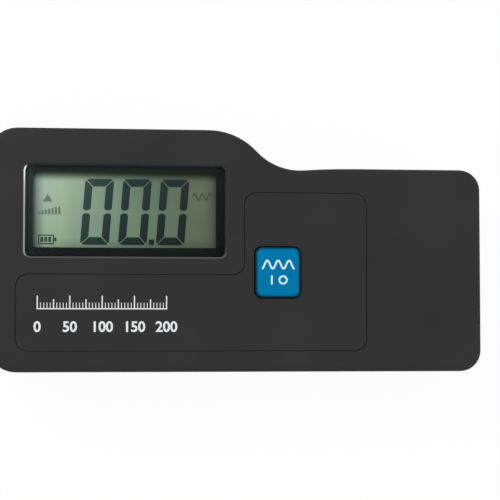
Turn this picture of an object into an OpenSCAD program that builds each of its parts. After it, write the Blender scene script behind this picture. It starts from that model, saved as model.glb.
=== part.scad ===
// Handheld vibration meter, lying on its back with its face up.
// +X runs from the sensor tip to the battery end, +Y from the lower edge to the display's upper edge.
// The origin is under the middle of the whole meter, on the surface that it lies on.

/* [Housing] */
// Length of the plastic housing, sensor end to battery end
body_l = 136.5; // [120:0.5:152]
// Width of the housing across the display
body_w = 67; // [60:0.5:74]
// Thickness of the housing, from back to face
body_t = 29; // [26:0.5:32]
// Width of the grip, as a share of the housing's width
grip_share = 0.8454; // [0.8442:0.0001:0.89]
// Radius of the two corners at the sensor end
head_corner_r = 8; // [6:0.5:9]
// Radius of the two corners at the battery end
grip_corner_r = 6; // [5.5:0.25:7]
// Rounding of the edge around the face
face_edge_r = 1.5; // [1:0.25:2.5]
// Rounding of the edge around the back
back_edge_r = 3; // [1.5:0.25:3]
// How far the side walls lean in from the seam to the face and the back
draft = 0.25; // [0:0.05:0.5]
// Thickness of the side and back walls
wall = 2; // [1.8:0.1:2.2]
// Thickness of the face
face_wall = 2.5; // [2.2:0.1:2.8]
// Height of the seam between the two shells, as a share of the thickness
seam_share = 0.5; // [0.49:0.005:0.51]

/* [Finger hollow] */
// Distance of the lowest point of the finger hollow from the battery end, as a share of the length
hollow_share = 0.3746; // [0.36:0.0001:0.39]
// Depth of the hollow below the grip's edge
hollow_depth = 0.55; // [0.25:0.05:1]
// Radius of the hollow
hollow_r = 16; // [14:0.5:20]
// Radius of the shoulder between the display and the hollow
shoulder_r = 18.5; // [16:0.5:22]
// Radius of the slow curve from the hollow to the straight grip
run_out_r = 195; // [140:1:240]

/* [Display] */
// Width of the display window, as a share of the housing's length
window_w_share = 0.4015; // [0.396:0.0001:0.41]
// Height of the display window, as a share of the housing's width
window_h_share = 0.3787; // [0.375:0.0001:0.395]
// Distance of the window's middle from the sensor end, as a share of the length
window_x_share = 0.2736; // [0.268:0.0001:0.278]
// Height of the window's middle above the housing's middle line, as a share of the width
window_y_share = 0.1594; // [0.15:0.0001:0.165]
// Radius of the window's corners
window_r = 1.9; // [1:0.1:2.5]
// Thickness of the clear lens
lens_t = 1.5; // [1.2:0.1:1.6]
// How far the window reaches past each end of the front glass
glass_side = 1.45; // [1.2:0.05:2]
// How far the window reaches past the front glass above and below
glass_edge = 0.8; // [0.7:0.05:1.2]
// Thickness of each of the two glasses
glass_t = 1.1; // [0.7:0.1:1.2]

/* [Face] */
// Distance of the face label from the sensor end
label_left = 8; // [7:0.1:9]
// Distance of the face label from the battery end, as a share of the length
label_right_share = 0.2402; // [0.225:0.0001:0.26]
// Distance of the face label from the lower edge
label_bottom = 6.1; // [4.5:0.1:8]
// Distance of the face label from the grip's upper edge
label_top = 7.3; // [5.5:0.1:9]
// Distance of the label's step from the sensor end, as a share of the length
label_step_x_share = 0.5133; // [0.5:0.0001:0.525]
// Height of the label's step above the lower edge, as a share of the housing's width
label_step_y_share = 0.3988; // [0.36:0.0001:0.42]
// Radius of the label's corners
label_r = 3.3; // [2:0.1:4]
// Thickness of the face label
label_t = 0.3; // [0.2:0.1:0.8]
// Width of the measuring key
key_w = 12.4; // [10:0.2:14]
// Height of the measuring key
key_h = 13.8; // [11:0.2:15]
// Radius of the key's corners
key_r = 1.9; // [1:0.1:3]
// Distance of the key's middle from the battery end, as a share of the length
key_x_share = 0.4204; // [0.41:0.0001:0.425]
// Height of the key's middle above the lower edge, as a share of the housing's width
key_y_share = 0.4106; // [0.39:0.0001:0.43]
// How far the key stands above the face
key_rise = 1; // [0.7:0.1:1.5]
// Travel of the key
key_travel = 0.5; // [0.2:0.1:0.8]

/* [Side controls] */
// Distance of the three-way function switch from the sensor end, as a share of the length
function_share = 0.2711; // [0.26:0.0001:0.29]
// Travel of the function switch, over its three places
function_travel = 4; // [3:0.5:5]
// Distance of the two-way range switch from the sensor end, as a share of the length
range_share = 0.4322; // [0.42:0.0001:0.45]
// Travel of the range switch
range_travel = 2; // [1.5:0.25:3]
// Distance of the output jack from the sensor end, as a share of the length
jack_share = 0.1172; // [0.11:0.0001:0.13]
// Radius of the jack's bore, for a 3.5 mm plug
jack_r = 1.8; // [1.78:0.02:2]
// Depth of the jack's bore
jack_depth = 13; // [11:0.5:14]

/* [Sensor] */
// Radius of the steel sensor can
can_r = 8.5; // [8:0.25:9]
// Length of the sensor can outside its boot
can_l = 18; // [17:0.5:22]
// Length of the rubber boot outside the housing
boot_l = 8; // [6:0.5:10]
// How far the boot stands out around its flange where it leaves the housing
boot_rim = 1.5; // [1:0.25:2]
// Length of the hexagon at the front of the sensor
hex_l = 4; // [3:0.5:6]
// Length of the screwed tip outside the sensor
tip_l = 16.5; // [12:0.5:24]
// Radius of the tip's collar
tip_collar_r = 5; // [4:0.25:6]
// Radius of the tip's shank where it leaves the collar
shank_r = 3.4; // [2.8:0.1:3.8]
// Radius of the rounded end that touches the machine
point_r = 1.9; // [1.5:0.1:2.2]

/* [Battery] */
// Play at the terminal end of the 9 V block
cell_play = 0.45; // [0.3:0.05:0.8]
// Width of the 9 V block
cell_w = 26.5; // [25.5:0.1:26.6]
// Thickness of the 9 V block, as a share of the room between back and face
cell_t_share = 0.7143; // [0.65:0.0001:0.76]
// Height of the terminals on the 9 V block
terminal_h = 2.1; // [1.8:0.1:2.2]
// Thickness of the snap connector over the terminals
snap_t = 3.3; // [3:0.1:3.4]
// Height of the seam around the battery cover
cover_h = 4; // [3.5:0.1:4.5]

/* [Hidden] */
$fn = 64;

// Clearances and other sizes that many pieces share
overrun = 1;          // how far a cut runs past the face that it opens
fit_gap = 0.15;       // gap around a piece that drops into a pocket
label_gap = 0.2;      // groove around the face label
slide_gap = 0.15;     // gap around a piece that slides
thread_gap = 0.05;    // gap around a screw in its hole
seam_cut = 0.3;       // chamfer on each shell along the seam
lip_h = 1.2;          // height of the locating lip inside the seam
lip_wall = 0.85;      // thickness of the locating lip
lip_gap = 0.1;        // gap around the locating lip
corner_steps = 7;
sweep_steps = 9;
run_out_steps = 3;
edge_steps = 4;

// Reach of the probe and places of the housing's edges
probe_reach = boot_l + can_l + hex_l + tip_l;
right_x = (body_l + probe_reach) / 2;
left_x = right_x - body_l;
low_y = -body_w / 2;
high_y = body_w / 2;
grip_w = body_w * grip_share;
grip_y = low_y + grip_w;
face_in_z = body_t - face_wall;
seam_z = body_t * seam_share;

// Finger hollow: three arcs that meet without a corner
hollow_x = right_x - body_l * hollow_share;
hollow_y = grip_y - hollow_depth;
run_out_a = acos(1 - hollow_depth / (hollow_r + run_out_r));
run_out_x = hollow_x + (hollow_r + run_out_r) * sin(run_out_a);
shoulder_a = acos(1 - (high_y - hollow_y) / (hollow_r + shoulder_r));
shoulder_x = hollow_x - (hollow_r + shoulder_r) * sin(shoulder_a);
hub = [hollow_x, 0];

// Display stack, from the face down
window_w = body_l * window_w_share;
window_h = body_w * window_h_share;
window_x = left_x + body_l * window_x_share;
window_y = body_w * window_y_share;
lens_recess = 0.2;    // how far the lens lies below the face
lens_z = body_t - lens_recess - lens_t;
ledge_w = 1.75;       // width of the ledge that carries the lens
glass_gap = 0.1;      // gap between the shell and the front glass
glass_z = face_in_z - glass_gap - glass_t;
glass_w = window_w - 2 * glass_side;
glass_h = window_h - 2 * glass_edge;
contact_w = 2.2;      // width of the front glass's contact ledges
reflector_t = 0.2;
reflector_edge = 0.6; // bare glass around the reflector
frame_wall = 1.2;     // wall of the frame around the glass
frame_foot = 0.2;     // gap between the frame and the board
frame_pin_r = 0.9;    // radius of the frame's four pins
frame_pin_l = 1.2;    // how far the pins go into the board
frame_lip = 1.6;      // how far the frame reaches under the glass at its ends

// Sensor's seat in the housing's end
boot_gap = 0.1;
boot_flange_t = 2.4;
neck_nut_t = 2;

// Board
board_t = 1.6;
board_drop = 7.9;     // distance of the board's upper face below the inside of the face
board_top = face_in_z - board_drop;
board_under = board_top - board_t;
board_gap = 0.6;      // gap between the board and the side walls
board_from_nut = 1;   // distance of the board from the nut on the sensor's neck
board_left = left_x + wall + boot_gap + boot_flange_t + neck_nut_t + board_from_nut;

// Battery tub
tub_wall = 1.5;       // wall between the tub and the board
tub_cheek = 0.8;      // other walls of the tub
tub_gap = 0.3;        // gap between the tub and the front shell
tub_end_gap = 1.1;    // gap between the tub and the front shell's end
tub_r = 1.5;          // radius of the tub's corners
cell_gap = 0.45;      // gap on each side of the block
cell_r = 1.2;         // radius of the block's corners seen from above
cell_edge_r = 2.2;    // radius of the block's long edges
cover_t = wall;
cell_z = cover_t + 0.3 * wall;
cell_t = (face_in_z - wall) * cell_t_share;
tub_roof = 1.2;
tub_x1 = right_x - wall - tub_end_gap - tub_cheek;
tub_x0 = tub_x1 - cell_w - 2 * cell_gap;
tub_y0 = low_y + wall + tub_gap + tub_cheek;
tub_y1 = grip_y - wall - tub_gap - tub_cheek;
tub_z1 = cell_z + cell_t + cell_gap;
cell_x = (tub_x0 + tub_x1) / 2;
cell_y0 = tub_y0 + fit_gap;
cell_y1 = tub_y1 - snap_t - cell_play;
cell_l = cell_y1 - cell_y0;
board_end_gap = 1.8;  // gap between the board and the tub
board_right = tub_x0 - tub_wall - board_end_gap;

// Case screws and their bosses
screw_r = 1.4;
screw_end = 3.5;      // distance of the screws' ends below the inside of the face
head_r = 2.8;
head_h = 1.9;
head_sink = 5;        // depth of the screw heads' seats
screw_l = face_in_z - head_sink - screw_end;
head_gap = 0.3;       // gap around a screw head
boss_r = 3;
seat_wall = 1.2;      // wall around a screw head's seat
screw_edge = 6;       // least distance of a case screw from the housing's edges
screw_off = 1;        // distance of a case screw from the corner's centre, each way
corner_in = max(screw_edge, head_corner_r - screw_off);
screw_from_tub = 12;  // distance of the two grip screws from the tub
case_spots = [
    [left_x + corner_in, low_y + corner_in],
    [left_x + corner_in, high_y - corner_in],
    [tub_x0 - screw_from_tub, low_y + screw_edge],
    [tub_x0 - screw_from_tub, grip_y - screw_edge]
];

// Board screws and their bosses
pin_r = 1;
pin_l = 6;
pin_head_r = 1.9;
pin_head_h = 1.3;
post_r = 2.4;
post_edge = 3.4;      // distance of a board screw from the board's edges
post_low = 18.5;      // height of the lower left board screw above the lower edge
post_from_tub = 5;    // distance of the right board screws from the board's end
post_in = 13;         // distance of the right board screws from the grip's edges
frame_high = window_y + glass_h / 2 + fit_gap + frame_wall;
post_high = (frame_high + high_y - wall) / 2;
board_spots = [
    [board_left + post_edge + boss_r, post_high],
    [window_x + glass_w / 2 - boss_r, post_high],
    [board_left + post_edge, low_y + post_low],
    [board_right - post_from_tub, low_y + post_in],
    [board_right - post_from_tub, grip_y - post_in]
];

// Measuring key and its switch
key_x = right_x - body_l * key_x_share;
key_y = low_y + body_w * key_y_share;
key_gap = 0.3;
key_edge_r = 0.6;
key_top = body_t + key_rise;
flange_w = 1.2;       // how far the key's flange reaches past the key
flange_t = 0.8;
flange_z = face_in_z - key_gap - flange_t;
tact_w = 6;
tact_h = 3.4;
tact_r = 1.7;
tact_rise = 1.4;      // how far the plunger stands out of the switch
tact_deep = 1.2;      // how far the plunger reaches into the switch
tact_well = key_travel + 0.3 * tact_deep;
tact_z = board_top + tact_h;
stem_r = 2.4;

// Slide switches in the lower side wall
side_y = low_y;
slider_h = 4.5;       // height of a slide switch
slider_d = 5;         // depth of a slide switch
slider_body = 8.5;    // length of a slide switch without its travel
slider_back = 0.8;    // gap between a slide switch and the wall
slider_mid = 2.3;     // height of the knob's middle above the board
slider_z = board_top + slider_mid;
stub_w = 2.2;         // width of the knob's stem
stub_h = 2;           // height of the knob's stem
stub_in = 1.2;        // how far the stem reaches into the switch
knob_w = 4.4;
knob_h = 3.2;
knob_t = 0.8;
knob_sink = 0.25;     // how far the knob lies below the wall
knob_ribs = 3;
rib_w = 0.5;          // width of a rib on a knob
thumb_edge = 1.1;     // room around the knob in its pocket
thumb_depth = knob_sink + knob_t + slide_gap;
function_x = left_x + body_l * function_share;
range_x = left_x + body_l * range_share;

// Output jack
jack_x = left_x + body_l * jack_share;
jack_w = 8;
jack_h = 6;
jack_l = 12;
jack_collar_r = 2.8;
jack_back = 0.2;      // gap between the jack's body and the wall
jack_sink = 0.3;      // how far the collar's end lies below the wall
jack_y = low_y + wall + jack_back;
jack_mouth_y = low_y + jack_sink;
jack_z = board_top + jack_h / 2;

// Sensor: lengths along its axis run outward from the housing's end
axis_z = seam_z;
neck_r = 5.5;
neck_bore_r = 3.6;
neck_in = wall + boot_flange_t + neck_nut_t;
port_gap = 0.1;
boot_room = 1.5;      // room between the boot's flange and the shells' insides
boot_flange_r = min(seam_z - wall, face_in_z - seam_z) - boot_room + 0.25 * wall;
boot_catch = 2;       // how far the flange reaches behind the shells
port_r = boot_flange_r - boot_catch;
boot_r = boot_flange_r + boot_rim;
boot_end_r = can_r + 1.3;
boot_rings = 3;
boot_ring_w = 0.9;
boot_ring_d = 0.6;
can_wall = 1.2;
can_back = 1.5;
base_t = 2;           // depth of the base's spigot inside the can
pedestal_t = 2.5;
pedestal_r = 5.2;
stack_post_r = 2;
piezo_r = 5;
piezo_l = 2.4;
mass_room = 0.9;      // room around the mass in the can
mass_end_room = 1.4;  // room behind the stack in the can
mass_r = can_r - can_wall - mass_room;
stack_nut_r = 3.6;
stack_nut_t = 2.4;
post_tip = 0.4;       // how far the post stands out of the nut
post_reach = can_l - base_t - pedestal_t - can_back - mass_end_room;
mass_l = post_reach - piezo_l - stack_nut_t - post_tip;
stud_r = 2.45;
stud_l = 4.6;
hex_across_r = can_r - 0.02 * can_r;
neck_nut_r = 7.4;
can_s = boot_l + can_l;
hex_s = can_s + hex_l;
base_s = can_s - base_t;
stack_s = base_s - pedestal_t;
post_end_s = stack_s - post_reach;
tip_s = hex_s + tip_l;
collar_l = 4.5;       // length of the tip's knurled collar
knurl_r = 0.35;       // radius of the knurl's grooves
knurls = 24;
point_l = 3;          // length of the tip's rounded end

// Wires inside the housing
wire_r = 0.6;
wire_side = 1.2;      // distance of each wire from the middle of its pair
wire_bend = 1.6;
sensor_pad = 2.6;     // distance of the sensor's pads from the board's end
battery_pad_in = 2.4; // distance of the battery's pads from the board's end
lead_drop = 6;        // distance of the battery's leads below the board
lead_z = board_under - lead_drop;
sensor_lead_z = min(axis_z - wire_r / 2, board_under - wire_bend - wire_r);
lead_port_r = 2.6;
snap_in = 1.25;       // how far the snap connector stays inside the block's ends
snap_w = cell_w - 2 * snap_in;
snap_h = 11;
snap_z = cell_z + cell_t / 2;
male_r = 2.8;
female_r = 4.2;
terminal_apart = cell_w * 0.48;
lead_wall = 0.3;      // wall between a lead's end and the terminal in the snap connector
lead_in = (snap_w - terminal_apart) / 2 - male_r - thread_gap - lead_wall;

// Battery cover: rails and tab
rail_in = 0.9;        // distance of a rail from the housing's side
rail_w = 1;
rail_h = 1.2;
rail_hook = 0.6;
rail_hook_h = 1;
cover_side = 2.4;     // thickness of the cover's sides
tab_w = 12;
tab_l = 4;
pad_t = 0.4;
pad_in = 3.25;        // how far the foam pad stays inside the block's sides
pad_w = cell_w - 2 * pad_in;
grip_pad_w = 15;
grip_pad_h = 12;
grip_pad_deep = 0.6;
grip_pad_from_edge = 11;
grip_ribs = 4;
arrow_w = 5;

// Ribs inside the shells
stiffener_t = 1;
stiffener_h = 2;

// Points on an arc, from one angle to another
function arc(centre, r, from, to, steps) =
    [for (i = [0 : steps]) let (a = from + (to - from) * i / steps)
        [centre.x + r * cos(a), centre.y + r * sin(a)]];

// The housing seen from above, drawn in by a distance
function outline(inset) = concat(
    arc([left_x + head_corner_r, low_y + head_corner_r], head_corner_r - inset, 180, 270, corner_steps),
    arc([right_x - grip_corner_r, low_y + grip_corner_r], grip_corner_r - inset, 270, 360, corner_steps),
    arc([right_x - grip_corner_r, grip_y - grip_corner_r], grip_corner_r - inset, 0, 90, corner_steps),
    arc([run_out_x, grip_y - run_out_r], run_out_r - inset, 90, 90 + run_out_a, run_out_steps),
    arc([hollow_x, hollow_y + hollow_r], hollow_r + inset,
        270 + run_out_a * (run_out_steps - 1) / run_out_steps, 270 - shoulder_a, sweep_steps),
    arc([shoulder_x, high_y - shoulder_r], shoulder_r - inset,
        90 - shoulder_a * (sweep_steps - 1) / sweep_steps, 90, sweep_steps - 1),
    arc([left_x + head_corner_r, high_y - head_corner_r], head_corner_r - inset, 90, 180, corner_steps)
);

// A rectangle with round corners, as points
function round_rect(w, h, r, steps = 6) = concat(
    arc([-w / 2 + r, -h / 2 + r], r, 180, 270, steps), arc([w / 2 - r, -h / 2 + r], r, 270, 360, steps),
    arc([w / 2 - r, h / 2 - r], r, 0, 90, steps), arc([-w / 2 + r, h / 2 - r], r, 90, 180, steps)
);

function at_height(loop, z) = [for (p = loop) [p.x, p.y, z]];

// A closed solid through loops of as many points each, lowest first.
// Each end is closed by a fan around a point that sees the whole loop.
module skin(loops, middle = [0, 0]) {
    n = len(loops[0]);
    top = len(loops) - 1;
    points = concat(
        [for (loop = loops) for (p = loop) p],
        [[middle.x, middle.y, loops[0][0].z], [middle.x, middle.y, loops[top][0].z]]
    );
    faces = concat(
        [for (i = [0 : top - 1]) for (j = [0 : n - 1]) let (k = (j + 1) % n)
            [i * n + j, (i + 1) * n + j, (i + 1) * n + k, i * n + k]],
        [for (j = [0 : n - 1]) [len(points) - 2, j, (j + 1) % n]],
        [for (j = [0 : n - 1]) [len(points) - 1, top * n + (j + 1) % n, top * n + j]]
    );
    polyhedron(points, faces, convexity = 8);
}

// A rectangle with true round corners
module round_square(w, h, r) {
    square([w - 2 * r, h], center = true);
    square([w, h - 2 * r], center = true);
    for (x = [-1, 1]) for (y = [-1, 1])
        translate([x * (w / 2 - r), y * (h / 2 - r)]) circle(r);
}

// An upright block with round corners, from one height to another
module slab(x, y, w, h, r, z0, z1) {
    translate([x, y, z0]) linear_extrude(z1 - z0) round_square(w, h, r);
}

// A plain block given by its low and high corners
module block(low, high) {
    translate(low) cube(high - low);
}

// The housing's outline between two heights, drawn in by a distance
module prism(inset, z0, z1) {
    translate([0, 0, z0]) linear_extrude(z1 - z0) polygon(outline(inset));
}

// A piece turned about the sensor's axis; its profile's second axis runs outward from the housing's end
module on_axis() {
    translate([left_x, 0, axis_z]) rotate([0, -90, 0]) children();
}

// A ring on the sensor's axis, between two lengths
module ring(outer, inner, s0, s1) {
    on_axis() translate([0, 0, s0]) difference() {
        cylinder(r = outer, h = s1 - s0);
        translate([0, 0, -overrun]) cylinder(r = inner, h = s1 - s0 + 2 * overrun);
    }
}

// The label's outline: a wide foot under the display and a taller block around the key
function label_outline(grow) = let (
    r = label_r, x0 = left_x + label_left - grow, x1 = right_x - body_l * label_right_share + grow,
    xs = left_x + body_l * label_step_x_share - grow, y0 = low_y + label_bottom - grow,
    y1 = grip_y - label_top + grow, ys = low_y + body_w * label_step_y_share + grow
) concat(
    arc([x0 + r, y0 + r], r, 180, 270, corner_steps), arc([x1 - r, y0 + r], r, 270, 360, corner_steps),
    arc([x1 - r, y1 - r], r, 0, 90, corner_steps), arc([xs + r, y1 - r], r, 90, 180, corner_steps),
    arc([xs - r, ys + r], r, 360, 270, corner_steps), arc([x0 + r, ys - r], r, 90, 180, corner_steps)
);

// Outer shape of the front shell, from the seam to the face
module front_form() {
    edge = [for (i = [0 : edge_steps]) let (a = 90 * i / edge_steps)
        [draft + face_edge_r * (1 - cos(a)), body_t - face_edge_r * (1 - sin(a))]];
    rings = concat([[seam_cut, seam_z], [0, seam_z + seam_cut]], edge);
    skin([for (r = rings) at_height(outline(r[0]), r[1])], hub);
}

// Outer shape of the back shell and its cover, from the back to the seam
module back_form() {
    edge = [for (i = [0 : edge_steps]) let (a = 90 - 90 * i / edge_steps)
        [draft + back_edge_r * (1 - cos(a)), back_edge_r * (1 - sin(a))]];
    rings = concat(edge, [[0, seam_z - seam_cut], [seam_cut, seam_z]]);
    skin([for (r = rings) at_height(outline(r[0]), r[1])], hub);
}

module sensor_port() {
    on_axis() translate([0, 0, -wall - overrun]) cylinder(r = port_r + port_gap, h = wall + 2 * overrun);
}

// Pocket and slot in the side wall for a slide switch's knob
module thumb_pocket(x, travel) {
    w = knob_w + travel + 2 * thumb_edge;
    h = knob_h + 2 * thumb_edge;
    translate([x, side_y + thumb_depth, slider_z]) rotate([90, 0, 0])
        linear_extrude(thumb_depth + overrun) round_square(w, h, thumb_edge);
    half_w = (stub_w + travel) / 2 + 2 * slide_gap;
    half_h = stub_h / 2 + 2 * slide_gap;
    block([x - half_w, side_y, slider_z - half_h], [x + half_w, side_y + wall + overrun, slider_z + half_h]);
}

module front_shell() {
    color([0.2, 0.2, 0.2]) difference() {
        union() {
            difference() {
                front_form();
                prism(wall, seam_z - overrun, face_in_z);
            }
            difference() {
                prism(wall - lip_wall, seam_z - lip_h, seam_z + seam_cut);
                prism(wall, seam_z - lip_h - overrun, seam_z + seam_cut + overrun);
            }
            for (p = case_spots)
                translate([p.x, p.y, seam_z]) cylinder(r = boss_r, h = face_in_z - seam_z + face_wall / 2);
            for (p = board_spots)
                translate([p.x, p.y, board_top])
                    cylinder(r = post_r, h = face_in_z - board_top + face_wall / 2);
            key_guide();
        }
        for (p = case_spots)
            translate([p.x, p.y, seam_z - overrun])
                cylinder(r = screw_r + thread_gap, h = head_sink + screw_l - seam_z + 2 * overrun);
        for (p = board_spots)
            translate([p.x, p.y, board_top - overrun])
                cylinder(r = pin_r + thread_gap, h = pin_l - board_t + 1.5 * overrun);
        slab(window_x, window_y, window_w, window_h, window_r, lens_z, body_t + overrun);
        slab(window_x, window_y, window_w - 2 * ledge_w, window_h - 2 * ledge_w, window_r / 2,
            face_in_z - overrun, body_t);
        translate([0, 0, body_t - label_t]) linear_extrude(label_t + overrun)
            polygon(label_outline(label_gap));
        slab(key_x, key_y, key_w + 2 * key_gap, key_h + 2 * key_gap, key_r + key_gap,
            face_in_z - overrun, body_t + overrun);
        thumb_pocket(function_x, function_travel);
        thumb_pocket(range_x, range_travel);
        translate([jack_x, low_y + wall + overrun, jack_z]) rotate([90, 0, 0])
            cylinder(r = jack_collar_r + fit_gap, h = wall + 2 * overrun);
        sensor_port();
    }
}

// Four short walls under the face that keep the key's flange square
module key_guide() {
    w = key_w + 2 * (flange_w + key_gap);
    h = key_h + 2 * (flange_w + key_gap);
    deep = flange_t + key_travel + key_gap;
    for (side = [-1, 1]) {
        translate([key_x + side * (w + stiffener_t) / 2, key_y, face_in_z - deep / 2 + face_wall / 4])
            cube([stiffener_t, h / 2, deep + face_wall / 2], center = true);
        translate([key_x, key_y + side * (h + stiffener_t) / 2, face_in_z - deep / 2 + face_wall / 4])
            cube([w / 2, stiffener_t, deep + face_wall / 2], center = true);
    }
}

// The tub that holds the battery: its walls and roof, before it is hollowed
module tub() {
    intersection() {
        block([tub_x0 - tub_wall, low_y, 0.75 * wall], [right_x, grip_y, seam_z - lip_h - lip_gap]);
        prism(0.75 * wall, 0, seam_z);
    }
    intersection() {
        block([tub_x0 - tub_wall, tub_y0 - tub_cheek, wall],
            [tub_x1 + tub_cheek, tub_y1 + tub_cheek, tub_z1 + tub_roof]);
        prism(wall + tub_gap, 0, body_t);
    }
}

module rail_profile(gap) {
    translate([rail_in - gap, cover_h - gap]) square([rail_w + 2 * gap, rail_h + rail_hook_h + 2 * gap]);
    translate([rail_in - gap, cover_h + rail_h - gap])
        square([rail_w + rail_hook + 2 * gap, rail_hook_h + 2 * gap]);
}

// Both rails of the battery cover, or with a gap the grooves that they run in
module rails(gap, reach) {
    for (side = [0, 1]) translate([0, side * (low_y + grip_y), 0]) mirror([0, side, 0])
        translate([tub_x0 + wall - gap, low_y, 0]) rotate([90, 0, 90])
            linear_extrude(right_x - tub_x0 - wall + reach) rail_profile(gap);
}

// The tab that holds the cover's inner edge, or with a gap its slot in the tub
module cover_tab(gap) {
    y = (tub_y0 + tub_y1) / 2;
    block([tub_x0 - tab_l - gap, y - tab_w / 2 - gap, wall / 2 + slide_gap - gap],
        [tub_x0 + tab_l / 2, y + tab_w / 2 + gap, wall + slide_gap + gap]);
}

module back_shell() {
    color([0.2, 0.2, 0.2]) difference() {
        union() {
            difference() {
                back_form();
                prism(wall, wall, seam_z + overrun);
            }
            tub();
            for (p = case_spots) {
                translate([p.x, p.y, 0.75 * wall])
                    cylinder(r = head_r + head_gap + seat_wall, h = head_sink + seat_wall - 0.75 * wall);
                translate([p.x, p.y, wall]) cylinder(r = boss_r, h = seam_z - wall);
            }
            back_stiffeners();
        }
        difference() {
            prism(wall - lip_wall - lip_gap, seam_z - lip_h - lip_gap, seam_z + overrun);
            prism(wall + 0.01 * wall, seam_z - lip_h - overrun, seam_z + 2 * overrun);
        }
        slab(cell_x, (tub_y0 + tub_y1) / 2, tub_x1 - tub_x0, tub_y1 - tub_y0, tub_r, -overrun, tub_z1);
        block([tub_x0, low_y - overrun, -overrun], [right_x + overrun, grip_y + overrun, cover_h]);
        rails(slide_gap, overrun);
        cover_tab(slide_gap);
        for (p = case_spots) {
            translate([p.x, p.y, -overrun]) cylinder(r = head_r + head_gap, h = head_sink + overrun);
            translate([p.x, p.y, 0]) cylinder(r = screw_r + head_gap, h = seam_z + overrun);
        }
        translate([tub_x0 - tub_wall - overrun, lead_y, lead_z]) rotate([0, 90, 0])
            cylinder(r = lead_port_r, h = tub_wall + 2 * overrun);
        sensor_port();
    }
}

// Low ribs across the back wall
module back_stiffeners() {
    count = 3;
    pitch = (tub_x0 - left_x) / (count + 1);
    for (i = [1 : count])
        block([left_x + i * pitch - stiffener_t / 2, low_y + 0.75 * wall, 0.75 * wall],
            [left_x + i * pitch + stiffener_t / 2, grip_y - hollow_depth - 0.75 * wall, wall + stiffener_h]);
}

module battery_cover() {
    color([0.2, 0.2, 0.2]) difference() {
        union() {
            difference() {
                intersection() {
                    back_form();
                    block([tub_x0 + fit_gap, low_y - overrun, -overrun],
                        [right_x + overrun, grip_y + overrun, cover_h - slide_gap]);
                }
                block([tub_x0, low_y + cover_side, cover_t], [right_x - wall, grip_y - cover_side, cover_h]);
            }
            intersection() {
                rails(0, 0);
                back_form();
            }
            rail_feet();
            cover_tab(0);
        }
        grip_pad();
    }
}

// The rails' feet, which join them to the cover's sides across the sliding gap
module rail_feet() {
    intersection() {
        for (side = [0, 1]) translate([0, side * (low_y + grip_y), 0]) mirror([0, side, 0])
            block([tub_x0 + wall, low_y + rail_in, cover_h - 2 * slide_gap],
                [right_x, low_y + rail_in + rail_w, cover_h + slide_gap]);
        back_form();
    }
}

// The thumb grip in the cover's outer face: a shallow pocket with ribs, and an arrow the way it slides
module grip_pad() {
    x = tub_x0 + grip_pad_from_edge;
    y = (low_y + grip_y) / 2;
    pitch = grip_pad_h / grip_ribs;
    difference() {
        slab(x, y, grip_pad_h, grip_pad_w, overrun, -overrun, grip_pad_deep);
        for (i = [0 : grip_ribs - 1])
            block([x - grip_pad_h / 2 + (i + 0.3) * pitch, y - grip_pad_w / 2, 0],
                [x - grip_pad_h / 2 + (i + 0.7) * pitch, y + grip_pad_w / 2, grip_pad_deep + overrun]);
    }
    translate([x + grip_pad_h, y, -overrun]) linear_extrude(overrun + grip_pad_deep)
        polygon([[0, -arrow_w / 2], [arrow_w * 0.8, 0], [0, arrow_w / 2]]);
}

// Screws with pan heads and cross recesses
module screw(r, l, hr, hh) {
    difference() {
        union() {
            cylinder(r = r, h = l);
            rotate_extrude() polygon([[0, -hh], [hr * 0.7, -hh], [hr * 0.92, -hh * 0.8], [hr, -hh * 0.4],
                [hr, 0], [0, 0]]);
        }
        for (a = [0, 90]) rotate(a)
            translate([0, 0, -hh]) cube([hr * 1.2, hr * 0.28, hh], center = true);
    }
}

module case_screws() {
    color([0.55, 0.55, 0.57]) for (p = case_spots)
        translate([p.x, p.y, head_sink]) screw(screw_r, screw_l, head_r, head_h);
}

module board_screws() {
    color([0.7, 0.7, 0.72]) for (p = board_spots)
        translate([p.x, p.y, board_under]) screw(pin_r, pin_l, pin_head_r, pin_head_h);
}

module display_lens() {
    color([0.8, 0.85, 0.85, 0.4])
        slab(window_x, window_y, window_w - 2 * fit_gap, window_h - 2 * fit_gap, window_r - fit_gap,
            lens_z, lens_z + lens_t);
}

module lcd_front_glass() {
    color([0.55, 0.62, 0.55]) translate([window_x, window_y, glass_z + glass_t / 2])
        cube([glass_w, glass_h, glass_t], center = true);
}

module lcd_rear_glass() {
    color([0.55, 0.62, 0.55]) translate([window_x, window_y, glass_z - glass_t / 2])
        cube([glass_w, glass_h - 2 * contact_w, glass_t], center = true);
}

module lcd_reflector() {
    color([0.75, 0.78, 0.72]) translate([window_x, window_y, glass_z - glass_t - reflector_t / 2])
        cube([glass_w - 2 * reflector_edge, glass_h - 2 * contact_w - 2 * reflector_edge, reflector_t],
            center = true);
}

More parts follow.
